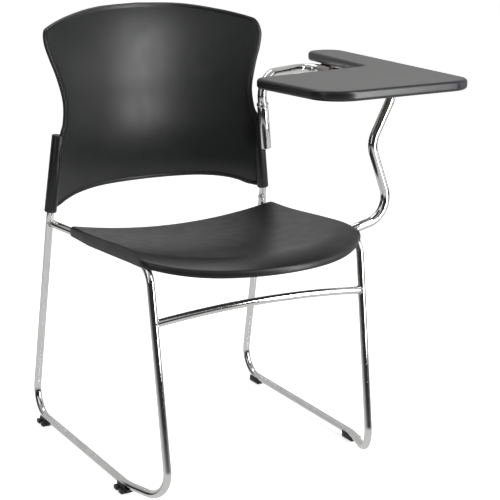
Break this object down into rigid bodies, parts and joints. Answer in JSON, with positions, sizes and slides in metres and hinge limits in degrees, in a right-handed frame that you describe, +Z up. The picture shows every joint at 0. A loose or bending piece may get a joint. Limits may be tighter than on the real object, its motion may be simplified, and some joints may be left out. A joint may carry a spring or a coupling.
{
  "type": "student desk chair",
  "caption": "Sled base side chair in bent chrome tube with moulded seat and back, and a writing tablet at the sitter's left that tips up on its arm tube.",
  "frame": {"origin": "bottom centre of the whole object's box, on the floor, with the arm and tablet included; the chair's own mid plane is at x = -0.0913 m", "axes": "+Z up, the chair faces -Y, +X towards the sitter's left, which is the tablet side"},
  "size_m": [0.7108, 0.6103, 0.8385],
  "materials": {
    "moulded_plastic": "fine grained black polypropylene, satin",
    "glide_plastic": "smooth black nylon",
    "chrome_tube": "bright chrome plate over polished tube",
    "bracket_steel": "zinc plated pressed steel, slightly warm",
    "fastener_steel": "zinc plated steel",
    "board": "plain particle board, hidden under its laminate and edge",
    "edge_band": "satin black moulded edge",
    "laminate": "dark grey laminate with a fine pebble",
    "liner_plastic": "natural nylon",
    "bumper_rubber": "soft black rubber"
  },
  "bodies": {
    "chair": {"arm_socket": "chrome_tube", "arm_tube": "chrome_tube", "back_screws": "fastener_steel", "back_shell": "moulded_plastic", "foot_bolt": "fastener_steel", "foot_nut": "fastener_steel", "foot_saddle": "bracket_steel", "front_crossbar": "chrome_tube", "glide_front_left": "glide_plastic", "glide_front_right": "glide_plastic", "glide_rear_left": "glide_plastic", "glide_rear_right": "glide_plastic", "rear_brace": "chrome_tube", "seat_screws": "fastener_steel", "seat_shell": "moulded_plastic", "seat_tabs": "bracket_steel", "side_frame_left": "chrome_tube", "side_frame_right": "chrome_tube", "socket_bolts": "fastener_steel", "socket_saddle": "bracket_steel", "stop_bumpers": "bumper_rubber", "stop_collar": "bracket_steel", "thrust_collar": "bracket_steel"},
    "tablet": {"tablet_board": "board", "tablet_edge": "edge_band", "tablet_laminate": "laminate", "hinge_liner_front": "liner_plastic", "hinge_liner_rear": "liner_plastic", "hinge_saddle_front": "bracket_steel", "hinge_saddle_rear": "bracket_steel", "hinge_screws": "fastener_steel"}
  },
  "joints": [
    {"name": "tablet_tilt", "type": "hinge", "parent": "chair", "child": "tablet", "pos_m": [0.28073, 0.09134, 0.6928], "axis": [0, 1, 0], "range_deg": [0, 95]}
  ]
}
